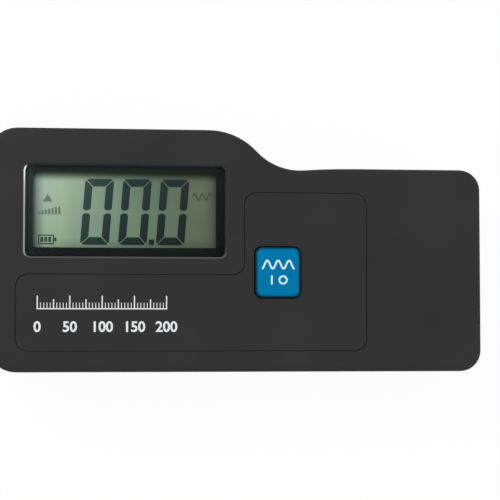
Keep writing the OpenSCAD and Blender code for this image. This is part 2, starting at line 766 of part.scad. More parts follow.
// Frame around the glass: four walls on the board, a foot under each end of the glass, and pins in the board.
// Its corner gives way to the case screw's boss.
module lcd_frame() {
    w = glass_w + 2 * (fit_gap + frame_wall);
    h = glass_h + 2 * (fit_gap + frame_wall);
    foot_z = board_top + frame_foot;
    foot_top = glass_z - glass_t - reflector_t;
    color([0.85, 0.85, 0.82]) difference() {
        union() {
            translate([window_x, window_y, foot_z + (glass_z + glass_t - foot_z) / 2])
                cube([w, h, glass_z + glass_t - foot_z], center = true);
            for (p = frame_pins)
                translate([p.x, p.y, board_top - frame_pin_l])
                    cylinder(r = frame_pin_r, h = frame_pin_l + 2 * frame_foot);
        }
        translate([window_x, window_y, foot_top + (glass_z + glass_t + overrun - foot_top) / 2])
            cube([glass_w + 2 * fit_gap, glass_h + 2 * fit_gap, glass_z + glass_t + overrun - foot_top],
                center = true);
        translate([window_x, window_y, foot_top])
            cube([glass_w - 2 * frame_lip, glass_h + 2 * fit_gap, 2 * (foot_top - foot_z + overrun)],
                center = true);
        translate([left_x + corner_in, high_y - corner_in, foot_z - overrun])
            cylinder(r = boss_r + fit_gap, h = glass_z + glass_t - foot_z + 2 * overrun);
    }
}

frame_pins = [for (x = [-1, 1]) for (y = [-1, 1])
    [window_x + x * (glass_w / 2 + fit_gap - frame_lip / 2), window_y + y * (glass_h / 2 - contact_w)]];

module zebra_strips() {
    w = glass_w - 2 * frame_lip - 2 * slide_gap;
    color([0.85, 0.45, 0.5]) for (side = [-1, 1])
        translate([window_x, window_y + side * (glass_h - contact_w) / 2, (board_top + glass_z) / 2])
            cube([w, contact_w - 2 * slide_gap, glass_z - board_top], center = true);
}

module face_label() {
    color([0.2, 0.2, 0.2]) difference() {
        translate([0, 0, body_t - label_t]) linear_extrude(label_t) polygon(label_outline(0));
        slab(key_x, key_y, key_w + 2 * key_gap, key_h + 2 * key_gap, key_r + key_gap,
            body_t - label_t - overrun, body_t + overrun);
    }
}

// The key: a cap with a rounded top, a flange that stops it under the face, and a stem on the switch
module measure_key() {
    rings = [for (i = [0 : edge_steps]) let (a = 90 * i / edge_steps)
        [key_edge_r * (1 - cos(a)), key_top - key_edge_r * (1 - sin(a))]];
    color([0, 0.45, 0.65]) {
        translate([key_x, key_y, 0]) skin(concat(
            [at_height(round_rect(key_w, key_h, key_r), flange_z + flange_t / 2)],
            [for (r = rings) at_height(round_rect(key_w - 2 * r[0], key_h - 2 * r[0], key_r - r[0]), r[1])]
        ));
        slab(key_x, key_y, key_w + 2 * flange_w, key_h + 2 * flange_w, key_r, flange_z, flange_z + flange_t);
        translate([key_x, key_y, tact_z + tact_rise])
            cylinder(r = stem_r, h = flange_z - tact_z - tact_rise + flange_t / 2);
    }
}

module tact_plunger() {
    color([0.1, 0.1, 0.1]) translate([key_x, key_y, tact_z - tact_deep])
        cylinder(r = tact_r, h = tact_rise + tact_deep);
}

module tact_switch() {
    color([0.12, 0.12, 0.12]) difference() {
        block([key_x - tact_w / 2, key_y - tact_w / 2, board_top],
            [key_x + tact_w / 2, key_y + tact_w / 2, tact_z]);
        translate([key_x, key_y, tact_z - tact_deep - tact_well])
            cylinder(r = tact_r + slide_gap, h = tact_deep + tact_well + overrun);
    }
}

module main_board() {
    color([0.1, 0.35, 0.2]) difference() {
        intersection() {
            prism(wall + board_gap, board_under, board_top);
            block([board_left, low_y, board_under - overrun], [board_right, high_y, board_top + overrun]);
        }
        for (p = case_spots)
            translate([p.x, p.y, board_under - overrun])
                cylinder(r = boss_r + board_gap, h = board_t + 2 * overrun);
        for (p = board_spots)
            translate([p.x, p.y, board_under - overrun])
                cylinder(r = pin_r + thread_gap, h = board_t + 2 * overrun);
        for (p = frame_pins)
            translate([p.x, p.y, board_under - overrun])
                cylinder(r = frame_pin_r + thread_gap, h = board_t + 2 * overrun);
    }
}

// Chips under the board, placed as shares of the board's length and of the grip's width
chip_shares = [[0.24, 0.30], [0.46, 0.30], [0.46, 0.62]];
chip_w = 10;
chip_h = 7;
chip_t = 1.8;
leg_w = 0.6;
leg_t = 0.25;
leg_l = 1.1;
legs = 7;

function board_spot(share) =
    [board_left + share[0] * (board_right - board_left), low_y + share[1] * grip_w];

// One chip with its two rows of legs, hanging under the board
module chip() {
    translate([0, 0, -leg_t - chip_t / 2]) cube([chip_w, chip_h, chip_t], center = true);
    for (i = [0 : legs - 1]) for (side = [-1, 1])
        translate([(i - (legs - 1) / 2) * chip_w / legs, side * (chip_h + leg_l) / 2, -leg_t / 2])
            cube([leg_w, leg_l + leg_t, leg_t], center = true);
    translate([0, 0, -leg_t / 2]) cube([chip_w * 0.9, chip_h, leg_t], center = true);
}

module board_chips() {
    color([0.08, 0.08, 0.08]) for (share = chip_shares)
        translate([board_spot(share).x, board_spot(share).y, board_under]) chip();
}

capacitor_share = [0.72, 0.68];
capacitor_r = 3.2;
capacitor_l = 7;
crystal_share = [0.70, 0.34];
crystal_w = 10.5;
crystal_h = 4.5;
crystal_t = 3.5;

module board_capacitor() {
    p = board_spot(capacitor_share);
    color([0.15, 0.15, 0.3]) translate([p.x, p.y, board_under - capacitor_l]) difference() {
        cylinder(r = capacitor_r, h = capacitor_l);
        for (a = [0, 90]) rotate(a) cube([capacitor_r, leg_w / 2, leg_t], center = true);
    }
}

module board_crystal() {
    p = board_spot(crystal_share);
    color([0.75, 0.75, 0.77])
        slab(p.x, p.y, crystal_w, crystal_h, crystal_h / 2.1, board_under - crystal_t, board_under);
}

// A slide switch on the board's edge, with the slot that its knob runs in
module slide_switch(x, travel) {
    y = side_y + wall + slider_back;
    half_w = (stub_w + travel) / 2 + slide_gap;
    half_h = stub_h / 2 + slide_gap;
    difference() {
        block([x - (slider_body + travel) / 2, y, board_top],
            [x + (slider_body + travel) / 2, y + slider_d, board_top + slider_h]);
        block([x - half_w, y - overrun, slider_z - half_h],
            [x + half_w, y + stub_in + slide_gap, slider_z + half_h]);
    }
}

// A slide switch's knob at its low end: a ribbed cap in the wall's pocket on a stem that reaches the switch
module slide_knob(x, travel) {
    mid = x - travel / 2;
    y = side_y + knob_sink;
    block([mid - stub_w / 2, y + knob_t / 2, slider_z - stub_h / 2],
        [mid + stub_w / 2, side_y + wall + slider_back + stub_in, slider_z + stub_h / 2]);
    difference() {
        block([mid - knob_w / 2, y, slider_z - knob_h / 2],
            [mid + knob_w / 2, y + knob_t, slider_z + knob_h / 2]);
        for (i = [0 : knob_ribs])
            translate([mid + (i - knob_ribs / 2) * knob_w / (knob_ribs + 1), y, slider_z])
                cube([rib_w, knob_t, knob_h + overrun], center = true);
    }
}

module function_switch() { color([0.6, 0.6, 0.6]) slide_switch(function_x, function_travel); }
module function_knob() { color([0.12, 0.12, 0.12]) slide_knob(function_x, function_travel); }
module range_switch() { color([0.6, 0.6, 0.6]) slide_switch(range_x, range_travel); }
module range_knob() { color([0.12, 0.12, 0.12]) slide_knob(range_x, range_travel); }

module output_jack() {
    color([0.1, 0.1, 0.1]) difference() {
        union() {
            block([jack_x - jack_w / 2, jack_y, board_top],
                [jack_x + jack_w / 2, jack_y + jack_l, board_top + jack_h]);
            translate([jack_x, jack_y + jack_back, jack_z]) rotate([90, 0, 0])
                cylinder(r = jack_collar_r, h = jack_y + jack_back - jack_mouth_y);
        }
        translate([jack_x, jack_mouth_y + jack_depth, jack_z]) rotate([90, 0, 0])
            cylinder(r = jack_r, h = jack_depth + overrun);
    }
}

// The 9 V block lies across the grip, with its terminals at the upper side
module battery_block() {
    color([0.16, 0.2, 0.3]) intersection() {
        slab(cell_x, (cell_y0 + cell_y1) / 2, cell_w, cell_l, cell_r, cell_z, cell_z + cell_t);
        translate([cell_x, cell_y1, cell_z + cell_t / 2]) rotate([90, 0, 0])
            linear_extrude(cell_l) round_square(cell_w, cell_t, cell_edge_r);
    }
}

module battery_terminals() {
    color([0.75, 0.75, 0.7]) {
        translate([cell_x - terminal_apart / 2, cell_y1 + terminal_h, snap_z]) rotate([90, 0, 0])
            cylinder(r = male_r, h = terminal_h);
        translate([cell_x + terminal_apart / 2, cell_y1 + terminal_h, snap_z]) rotate([90, 0, 0])
            difference() {
                cylinder(r = female_r, h = terminal_h);
                translate([0, 0, -overrun]) cylinder(r = male_r, h = terminal_h / 2 + overrun);
            }
    }
}

module battery_snap() {
    color([0.1, 0.1, 0.1]) difference() {
        translate([cell_x, cell_y1 + snap_t, snap_z]) rotate([90, 0, 0])
            linear_extrude(snap_t) round_square(snap_w, snap_h, snap_h / 2.1);
        for (side = [-1, 1])
            translate([cell_x + side * terminal_apart / 2, cell_y1 + terminal_h + thread_gap, snap_z])
                rotate([90, 0, 0])
                    cylinder(r = (side < 0 ? male_r : female_r) + thread_gap, h = terminal_h + overrun);
        for (side = [-1, 1])
            translate([cell_x - snap_w / 2 - overrun, lead_y, lead_z + side * wire_side]) rotate([0, 90, 0])
                cylinder(r = wire_r + thread_gap, h = lead_in + overrun);
    }
}

lead_y = cell_y1 + snap_t / 2;

// A wire from a start along -X or +X, then a bend up to a pad under the board
module wire(x0, x1, y, z0) {
    side = sign(x1 - x0);
    run = abs(x1 - x0) - wire_bend;
    translate([x0, y, z0]) rotate([0, side * 90, 0]) cylinder(r = wire_r, h = run);
    translate([x0 + side * run, y, z0 + wire_bend]) rotate([90, 0, 0]) rotate(side > 0 ? -90 : 180)
        rotate_extrude(angle = 90) translate([wire_bend, 0]) circle(wire_r);
    translate([x1, y, z0 + wire_bend]) cylinder(r = wire_r, h = board_under - z0 - wire_bend);
}

module battery_leads() {
    for (side = [0, 1]) color(side ? [0.7, 0.1, 0.1] : [0.1, 0.1, 0.1])
        wire(cell_x - snap_w / 2 + lead_in, board_right - battery_pad_in * (2 - side), lead_y,
            lead_z + (side ? 1 : -1) * wire_side);
}

module battery_pad() {
    color([0.1, 0.1, 0.1])
        slab(cell_x, (tub_y0 + tub_y1) / 2, pad_w, pad_w, tub_r, cover_t, cover_t + pad_t);
}

// Rubber boot: a flange inside the shells, a neck in their port, and a ringed cone outside
module sensor_boot() {
    color([0.09, 0.09, 0.09]) on_axis() difference() {
        rotate_extrude() polygon([
            [neck_r + boot_gap, -wall - boot_gap - boot_flange_t],
            [boot_flange_r, -wall - boot_gap - boot_flange_t],
            [boot_flange_r, -wall - boot_gap], [port_r, -wall - boot_gap], [port_r, boot_gap],
            [boot_r, boot_gap], [boot_r, boot_l / 6], [boot_end_r, boot_l], [neck_r + boot_gap, boot_l]
        ]);
        for (i = [1 : boot_rings]) translate([0, 0, boot_l * (0.1 + i / (boot_rings + 1.2))]) difference() {
            cylinder(r = boot_r + overrun, h = boot_ring_w);
            translate([0, 0, -overrun])
                cylinder(r = boot_r - (boot_r - boot_end_r) * i / (boot_rings + 1) - boot_ring_d,
                    h = boot_ring_w + 2 * overrun);
        }
    }
}

module sensor_can() {
    color([0.72, 0.72, 0.74]) on_axis() difference() {
        union() {
            translate([0, 0, boot_l]) cylinder(r = can_r, h = can_l);
            translate([0, 0, -neck_in]) cylinder(r = neck_r, h = neck_in + boot_l + can_back / 2);
        }
        translate([0, 0, boot_l + can_back]) cylinder(r = can_r - can_wall, h = can_l);
        translate([0, 0, -neck_in - overrun])
            cylinder(r = neck_bore_r, h = neck_in + boot_l + can_back + 2 * overrun);
    }
}

// The base closes the can and carries the stack on a post; its front is a hexagon with the tip's thread
module sensor_base() {
    color([0.72, 0.72, 0.74]) on_axis() difference() {
        union() {
            translate([0, 0, can_s]) cylinder(r = hex_across_r, h = hex_l, $fn = 6);
            translate([0, 0, base_s]) cylinder(r = can_r - can_wall - thread_gap, h = base_t + hex_l / 4);
            translate([0, 0, stack_s]) cylinder(r = pedestal_r, h = pedestal_t + base_t / 2);
            translate([0, 0, post_end_s]) cylinder(r = stack_post_r, h = post_reach + pedestal_t / 2);
        }
        translate([0, 0, hex_s - stud_l - 2 * thread_gap])
            cylinder(r = stud_r + thread_gap, h = stud_l + overrun);
    }
}

module piezo_ring() {
    color([0.85, 0.8, 0.65]) ring(piezo_r, stack_post_r + thread_gap, stack_s - piezo_l, stack_s);
}

module seismic_mass() {
    s = stack_s - piezo_l;
    color([0.5, 0.5, 0.52]) ring(mass_r, stack_post_r + thread_gap, s - mass_l, s);
}

module stack_nut() {
    s = stack_s - piezo_l - mass_l;
    color([0.8, 0.65, 0.3]) on_axis() translate([0, 0, s - stack_nut_t]) difference() {
        cylinder(r = stack_nut_r, h = stack_nut_t, $fn = 6);
        translate([0, 0, -overrun]) cylinder(r = stack_post_r + thread_gap, h = stack_nut_t + 2 * overrun);
    }
}

module neck_nut() {
    s = -wall - boot_gap - boot_flange_t;
    color([0.72, 0.72, 0.74]) on_axis() translate([0, 0, s - neck_nut_t]) difference() {
        cylinder(r = neck_nut_r, h = neck_nut_t, $fn = 6);
        translate([0, 0, -overrun]) cylinder(r = neck_r + thread_gap, h = neck_nut_t + 2 * overrun);
    }
}

module sensor_leads() {
    for (side = [-1, 1]) color(side > 0 ? [0.85, 0.85, 0.85] : [0.1, 0.1, 0.1])
        wire(left_x - post_end_s, board_left + sensor_pad, side * wire_side, sensor_lead_z);
}

// The tip: a stud, a knurled collar, a tapered shank and a rounded end
module probe_tip() {
    color([0.78, 0.78, 0.8]) on_axis() difference() {
        union() {
            translate([0, 0, hex_s - stud_l]) cylinder(r = stud_r, h = stud_l + collar_l / 2);
            rotate_extrude() polygon(concat(
                [[0, hex_s], [tip_collar_r * 0.94, hex_s], [tip_collar_r, hex_s + collar_l * 0.08],
                    [tip_collar_r, hex_s + collar_l * 0.92], [tip_collar_r * 0.94, hex_s + collar_l],
                    [shank_r, hex_s + collar_l]],
                [for (i = [0 : edge_steps]) let (a = 90 * i / edge_steps)
                    [point_r * cos(a), tip_s - point_l + point_l * sin(a)]]
            ));
        }
        for (i = [0 : knurls - 1]) rotate(360 * i / knurls)
            translate([tip_collar_r, 0, hex_s + collar_l * 0.16]) cylinder(r = knurl_r, h = collar_l * 0.68);
    }
}

front_shell();
back_shell();
battery_cover();
case_screws();
display_lens();
lcd_front_glass();
lcd_rear_glass();
lcd_reflector();
lcd_frame();
zebra_strips();
face_label();
measure_key();
tact_plunger();
tact_switch();
main_board();
board_screws();
board_chips();
board_capacitor();
board_crystal();
function_switch();
function_knob();
range_switch();
range_knob();
output_jack();
battery_block();
battery_terminals();
battery_snap();
battery_leads();
battery_pad();
sensor_boot();
sensor_can();
sensor_base();
piezo_ring();
seismic_mass();
stack_nut();
neck_nut();
sensor_leads();
probe_tip();
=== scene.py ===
import math

import bpy
import bmesh
from mathutils import Matrix, Vector


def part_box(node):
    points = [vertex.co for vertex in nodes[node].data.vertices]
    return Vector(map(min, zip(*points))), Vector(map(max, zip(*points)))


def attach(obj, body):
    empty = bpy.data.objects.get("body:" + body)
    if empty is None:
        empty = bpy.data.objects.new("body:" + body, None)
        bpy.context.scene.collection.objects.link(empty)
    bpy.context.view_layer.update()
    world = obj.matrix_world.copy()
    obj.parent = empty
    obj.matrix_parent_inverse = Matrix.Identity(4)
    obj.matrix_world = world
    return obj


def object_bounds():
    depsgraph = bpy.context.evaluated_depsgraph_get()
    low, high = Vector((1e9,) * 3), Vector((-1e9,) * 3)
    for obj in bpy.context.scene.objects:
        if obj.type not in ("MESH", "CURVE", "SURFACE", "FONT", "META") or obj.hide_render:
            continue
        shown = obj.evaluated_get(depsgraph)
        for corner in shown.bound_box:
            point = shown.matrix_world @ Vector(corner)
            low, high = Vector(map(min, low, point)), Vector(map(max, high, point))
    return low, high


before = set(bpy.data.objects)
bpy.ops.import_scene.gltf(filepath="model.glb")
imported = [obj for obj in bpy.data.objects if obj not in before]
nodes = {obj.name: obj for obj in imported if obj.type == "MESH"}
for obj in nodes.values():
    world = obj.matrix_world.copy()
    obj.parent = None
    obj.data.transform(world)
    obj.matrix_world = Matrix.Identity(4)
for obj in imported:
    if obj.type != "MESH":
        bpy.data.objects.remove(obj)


def corners(b):
    return [[float(v) for v in c] for c in b]


cad_box = corners(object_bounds())
MM = 0.001  # Blender works in metres; lengths named here are in millimetres unless they say metres

# Camera: it aims at the face from a little to its left and below it, as the photograph does
YAW, PITCH = math.radians(-6.1), math.radians(-2.92)
FACE_Z = 29.0
AIM = Vector((26.45, 0.12, FACE_Z))
DISTANCE = 419.2
FOCAL_LENGTH, SENSOR_WIDTH = 110, 36
CLIP_NEAR, CLIP_FAR = 0.01, 20  # metres

cy, sy, cp, sp = math.cos(YAW), math.sin(YAW), math.cos(PITCH), math.sin(PITCH)
right = Vector((cy, 0, -sy))
up = Vector((-sp * sy, cp, -sp * cy))
back = Vector((cp * sy, sp, cp * cy))
EYE = AIM + back * DISTANCE
camera_data = bpy.data.cameras.new("camera")
camera_data.lens = FOCAL_LENGTH
camera_data.sensor_width = SENSOR_WIDTH
camera_data.clip_start = CLIP_NEAR
camera_data.clip_end = CLIP_FAR
camera = bpy.data.objects.new("camera", camera_data)
camera.matrix_world = Matrix.Translation(EYE * MM) @ Matrix((right, up, back)).transposed().to_4x4()
bpy.context.collection.objects.link(camera)
bpy.context.scene.camera = camera


def below(x, y, z):
    """The point at height z that the camera sees at this place of the face."""
    k = (EYE.z - z) / (EYE.z - FACE_Z)
    return EYE.x + (x - EYE.x) * k, EYE.y + (y - EYE.y) * k


# Colours and nodes
WHITE = (1, 1, 1, 1)


def lin(*rgb):
    """sRGB values from 0 to 255 as linear RGBA."""
    out = []
    for v in rgb:
        v = v / 255
        out.append(v / 12.92 if v <= 0.04045 else ((v + 0.055) / 1.055) ** 2.4)
    return (*out, 1)


def grey(share):
    return (share, share, share, 1)


def darker(colour, share):
    return tuple(c * share for c in colour[:3]) + (1,)


def feed(nt, n, inputs):
    """Sets a node's inputs; each is a value or another node's output."""
    for key, value in inputs.items():
        if isinstance(value, bpy.types.NodeSocket):
            nt.links.new(value, n.inputs[key])
        else:
            n.inputs[key].default_value = value


def node(nt, kind, inputs=None, **settings):
    n = nt.nodes.new("ShaderNode" + kind)
    for key, value in settings.items():
        setattr(n, key, value)
    feed(nt, n, inputs or {})
    return n


def new_material(name):
    """A material, its node tree and its surface."""
    m = bpy.data.materials.new(name)
    m.use_nodes = True
    return m, m.node_tree, m.node_tree.nodes["Principled BSDF"]


def coords(nt):
    """Object coordinates: every CAD node and every piece here is built in the row frame."""
    return node(nt, "TexCoord").outputs["Object"]


def place(nt, axis):
    """The place along one axis of the row frame, in metres."""
    return node(nt, "SeparateXYZ", {"Vector": coords(nt)}).outputs[axis]


def math_node(nt, operation, a, b=None, c=None):
    inputs = {i: v for i, v in enumerate((a, b, c)) if v is not None}
    return node(nt, "Math", inputs, operation=operation).outputs[0]


def noise(nt, scale, detail=3, vector=None):
    inputs = {"Vector": vector or coords(nt), "Scale": scale, "Detail": detail}
    return node(nt, "TexNoise", inputs).outputs["Fac"]


def rescale(nt, value, lo, hi, to_lo=0.0, to_hi=1.0):
    inputs = {"Value": value, "From Min": lo, "From Max": hi, "To Min": to_lo, "To Max": to_hi}
    return node(nt, "MapRange", inputs).outputs["Result"]


def ramp(nt, value, stops, interpolation="LINEAR"):
    """Colours by value, from (value, colour) stops."""
    r = node(nt, "ValToRGB", {"Fac": value})
    r.color_ramp.interpolation = interpolation
    e = r.color_ramp.elements
    while len(e) > 1:
        e.remove(e[-1])
    e[0].position, e[0].color = stops[0]
    for at, colour in stops[1:]:
        e.new(at).color = colour
    return r.outputs["Color"]


def place_ramp(nt, axis, span, stops):
    """Colours along one axis of the row frame; span and stops are in millimetres."""
    lo, hi = span
    value = rescale(nt, place(nt, axis), lo * MM, hi * MM)
    return ramp(nt, value, [((at - lo) / (hi - lo), tone) for at, tone in stops])


def blend(nt, kind, a, b, share=1.0):
    """Mix of two colours, the second over the first."""
    return node(nt, "Mix", {0: share, 6: a, 7: b}, data_type="RGBA", blend_type=kind).outputs[2]


def bump(nt, p, height, strength, depth, rounding=None):
    """Fine relief on a surface, and softly rounded edges where a radius is given."""
    b = node(nt, "Bump", {"Strength": strength, "Distance": depth, "Height": height})
    if rounding:
        feed(nt, b, {"Normal": node(nt, "Bevel", {"Radius": rounding}, samples=6).outputs["Normal"]})
    feed(nt, p, {"Normal": b.outputs["Normal"]})


# Materials; grain, depth and rounding are in metres
def moulded(name, dark, light, rough, grain=0.00032, depth=0.00001, specular=0.3, rounding=0.00018):
    """Spark-eroded moulded plastic: a fine grain, slight mottling, and roughness that varies with it."""
    m, nt, p = new_material(name)
    fine = noise(nt, 1 / grain, 4)
    mottled = math_node(nt, "MULTIPLY_ADD", fine, 0.35, noise(nt, 45, 2))
    feed(nt, p, {
        "Base Color": ramp(nt, mottled, [(0.45, dark), (0.85, light)]),
        "Roughness": rescale(nt, fine, 0.3, 0.7, rough - 0.05, rough + 0.06),
        "Specular IOR Level": specular,
    })
    bump(nt, p, fine, 0.5, depth, rounding)
    return m


def metal(name, colour, rough, axis):
    """Turned or drawn metal: fine streaks across the axis it was worked on, and slight tarnish."""
    along, streaks = 60.0, 2600.0
    m, nt, p = new_material(name)
    scale = [along] * 3
    scale[axis] = streaks
    stretched = node(nt, "Mapping", {"Vector": coords(nt), "Scale": scale}).outputs["Vector"]
    lines = noise(nt, 1, vector=stretched)
    feed(nt, p, {
        "Base Color": ramp(nt, noise(nt, 140, 5), [(0.35, darker(colour, 0.86)), (0.65, colour)]),
        "Metallic": 1,
        "Roughness": rescale(nt, lines, 0.3, 0.7, rough - 0.07, rough + 0.09),
    })
    bump(nt, p, lines, 0.6, 0.000004, 0.00015)
    return m


def plain(name, colour, rough=0.5, specular=0.3):
    """A smooth surface of one colour with slight mottling."""
    m, nt, p = new_material(name)
    feed(nt, p, {
        "Base Color": ramp(nt, noise(nt, 700, 2), [(0.3, darker(colour, 0.94)), (0.7, colour)]),
        "Roughness": rough,
        "Specular IOR Level": specular,
    })
    return m


def board_material():
    """The board's green mask with a fine net of tracks under it."""
    m, nt, p = new_material("board_resin")
    net = node(nt, "TexVoronoi", {"Vector": coords(nt), "Scale": 330, "Randomness": 0.55},
               feature="DISTANCE_TO_EDGE", distance="MANHATTAN").outputs["Distance"]
    tracks = ramp(nt, net, [(0.0, lin(32, 112, 66)), (0.10, lin(24, 92, 52)), (0.16, lin(18, 74, 42))])
    feed(nt, p, {"Base Color": tracks, "Roughness": 0.32})
    bump(nt, p, net, 0.4, 0.00002)
    return m


def sleeve_material():
    """The capacitor's glossy dark blue sleeve."""
    m, nt, p = new_material("sleeve_plastic")
    tone = ramp(nt, noise(nt, 220), [(0.3, lin(22, 26, 58)), (0.7, lin(30, 35, 74))])
    feed(nt, p, {"Base Color": tone, "Roughness": 0.22, "Coat Weight": 0.4})
    return m


def jacket_material():
    """The block battery's lithographed sleeve: a dark body and a copper-coloured end."""
    m, nt, p = new_material("cell_jacket")
    lo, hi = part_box("battery_block")
    tone = ramp(nt, rescale(nt, place(nt, "Y"), lo.y, hi.y), [
        (0.0, lin(150, 152, 156)), (0.035, lin(36, 44, 66)), (0.66, lin(40, 48, 70)),
        (0.665, lin(176, 112, 62)), (0.965, lin(186, 120, 68)), (0.97, lin(150, 152, 156)),
    ], "CONSTANT")
    scratches = noise(nt, 900, 5)
    feed(nt, p, {
        "Base Color": tone,
        "Metallic": 0.55,
        "Roughness": rescale(nt, scratches, 0.0, 1.0, 0.26, 0.42),
    })
    bump(nt, p, scratches, 0.25, 0.000006, 0.0003)
    return m


def wires_material(name, axis, at, low, high):
    """Two leads of one node, told apart by their place along an axis; it is in metres."""
    soft = 0.00001
    m, nt, p = new_material(name)
    side = rescale(nt, place(nt, axis), at - soft, at + soft)
    feed(nt, p, {"Base Color": ramp(nt, side, [(0.0, low), (0.5, high)], "CONSTANT"), "Roughness": 0.38})
    bump(nt, p, noise(nt, 1500, 2), 0.2, 0.00001)
    return m


def zebra_material():
    """Conducting strips: thin dark layers in pale silicone."""
    m, nt, p = new_material("strip_rubber")
    layers = node(nt, "TexWave", {"Vector": coords(nt), "Scale": 1250, "Distortion": 0},
                  bands_direction="X").outputs["Fac"]
    tone = ramp(nt, layers, [(0.45, lin(196, 168, 164)), (0.55, lin(44, 40, 42))])
    feed(nt, p, {"Base Color": tone, "Roughness": 0.6})
    return m


def mixed_material(name):
    """A material that is a mix of two shaders; returns it, its tree and what takes the shaders."""
    m = bpy.data.materials.new(name)
    m.use_nodes = True
    nt = m.node_tree
    nt.nodes.clear()
    mix = node(nt, "MixShader")
    node(nt, "OutputMaterial", {0: mix.outputs[0]})
    return m, nt, mix


def lens_material():
    """Clear acrylic: the view through it is straight, and only its outer surface mirrors."""
    m, nt, mix = mixed_material("lens_clear")
    outer = math_node(nt, "SUBTRACT", 1, node(nt, "NewGeometry").outputs["Backfacing"])
    mirrored = math_node(nt, "MULTIPLY", node(nt, "Fresnel", {"IOR": 1.18}).outputs[0], outer)
    clear = node(nt, "BsdfTransparent", {"Color": (0.985, 0.99, 0.985, 1)})
    gloss = node(nt, "BsdfGlossy", {"Roughness": 0.05})
    feed(nt, mix, {0: mirrored, 1: clear.outputs[0], 2: gloss.outputs[0]})
    return m


# What the display shows is coloured by its place; these are the spans of its ramps
DISPLAY_X, DISPLAY_Y = (-34, 18), (0, 23)
BORDER_X, BORDER_Y = (-36, 19), (-1, 24)


def liquid_crystal_material():
    """The display's grey-green ground: lighter at its left and darker towards the bottom, with painted shade
    along the window's left, lower and upper edges.
    """
    m, nt, p = new_material("lcd_ground")
    # The dark stops at the left end of both ramps are painted shade from the window's left edge
    high = place_ramp(nt, "X", DISPLAY_X, [
        (-33.2, lin(80, 104, 94)), (-31.4, lin(144, 164, 151)), (-29.5, lin(179, 199, 184)),
        (-25.0, lin(176, 195, 169)), (-15.6, lin(143, 164, 141)), (-5.2, lin(114, 137, 117)),
        (3.0, lin(101, 119, 100)), (13.4, lin(104, 115, 92)), (16.8, lin(86, 98, 84)),
    ])
    low = place_ramp(nt, "X", DISPLAY_X, [
        (-33.2, lin(70, 88, 80)), (-31.4, lin(118, 136, 121)), (-29.5, lin(160, 181, 154)),
        (-25.5, lin(156, 179, 150)), (-22.0, lin(141, 165, 144)), (-15.6, lin(129, 155, 131)),
        (-5.2, lin(113, 139, 114)), (3.0, lin(103, 123, 101)), (13.4, lin(98, 111, 90)),
        (16.8, lin(87, 98, 86)),
    ])
    height = place_ramp(nt, "Y", DISPLAY_Y, [(4.0, grey(0)), (19.0, grey(1))])
    # Painted shade: a thin band near the window's lower edge, and the shadow of its upper edge, darkest at
    # the top
    shade = place_ramp(nt, "Y", DISPLAY_Y, [
        (1.0, grey(1)), (1.3, grey(0.8)), (3.5, grey(1)), (18.7, grey(1)),
        (19.2, grey(0.87)), (19.8, grey(0.6)), (20.4, grey(0.3)), (21.2, grey(0.14)),
    ])
    shaded = blend(nt, "MULTIPLY", blend(nt, "MIX", low, high, height), shade)
    cloud = ramp(nt, noise(nt, 170, 2), [(0.3, grey(0.93)), (0.7, grey(1))])
    tone = blend(nt, "MULTIPLY", shaded, cloud)
    feed(nt, p, {"Base Color": tone, "Roughness": 0.5, "Specular IOR Level": 0.1})
    return m


def segment_material(name, stops, foot):
    """The display's figures, less dark where its ground is light; foot is the tone's share at their foot."""
    m, nt, p = new_material(name)
    across = place_ramp(nt, "X", DISPLAY_X, stops)
    down = place_ramp(nt, "Y", DISPLAY_Y, [(2, grey(foot)), (20, grey(1))])
    tone = blend(nt, "MULTIPLY", across, down)
    feed(nt, p, {"Base Color": tone, "Roughness": 0.5, "Specular IOR Level": 0.1})
    return m


def mask_material():
    """The black border printed behind the lens, with a painted highlight at its left and top that fades
    darker to the right and towards the bottom.
    """
    m, nt, p = new_material("mask_black_painted_highlight")
    # Painted highlight: lighter at the left, darker to the right
    across = place_ramp(nt, "X", BORDER_X, [
        (-35.2, lin(64, 73, 67)), (-33.2, lin(45, 62, 56)), (-31.5, lin(40, 46, 46)),
        (15.0, lin(34, 41, 40)), (18.0, lin(24, 34, 31)),
    ])
    # Painted shade: darker towards the bottom
    down = place_ramp(nt, "Y", BORDER_Y, [
        (0.0, grey(0.48)), (4.0, grey(0.65)), (12.0, grey(0.85)), (20.0, grey(1)),
    ])
    tone = blend(nt, "MULTIPLY", across, down)
    feed(nt, p, {"Base Color": tone, "Roughness": 0.5, "Specular IOR Level": 0})
    return m


BODY = moulded("body_plastic", lin(38, 38, 38), lin(44, 44, 44), 0.62, specular=0.22)
COVER = moulded("cover_plastic", lin(38, 38, 38), lin(44, 44, 44), 0.62, specular=0.22)
LABEL = moulded("label_film", lin(39, 39, 39), lin(44, 44, 44), 0.56, grain=0.0002, depth=0.000004,
                specular=0.22, rounding=0.00008)
KEY = moulded("key_plastic", lin(0, 116, 167), lin(0, 124, 176), 0.6, grain=0.00025, depth=0.000004,
              specular=0.02, rounding=0.0003)
BLACK = moulded("black_plastic", lin(24, 24, 25), lin(31, 31, 32), 0.5, rounding=0.0002)
RUBBER = moulded("boot_rubber", lin(24, 24, 24), lin(34, 34, 34), 0.78, grain=0.0005, depth=0.00002,
                 specular=0.2, rounding=0.0003)
FOAM = moulded("foam", lin(28, 28, 29), lin(50, 50, 52), 0.95, grain=0.0008, depth=0.0002,
               specular=0.05, rounding=None)
IVORY = moulded("frame_plastic", lin(214, 214, 208), lin(226, 226, 220), 0.5)
CERAMIC = moulded("ceramic", lin(208, 198, 168), lin(226, 217, 190), 0.6, grain=0.0001, depth=0.000004)
CHIP = moulded("chip_resin", lin(20, 20, 21), lin(30, 30, 31), 0.6, grain=0.0002)
STEEL = metal("sensor_steel", lin(172, 174, 177), 0.3, 0)
TIP = metal("tip_steel", lin(184, 186, 190), 0.24, 0)
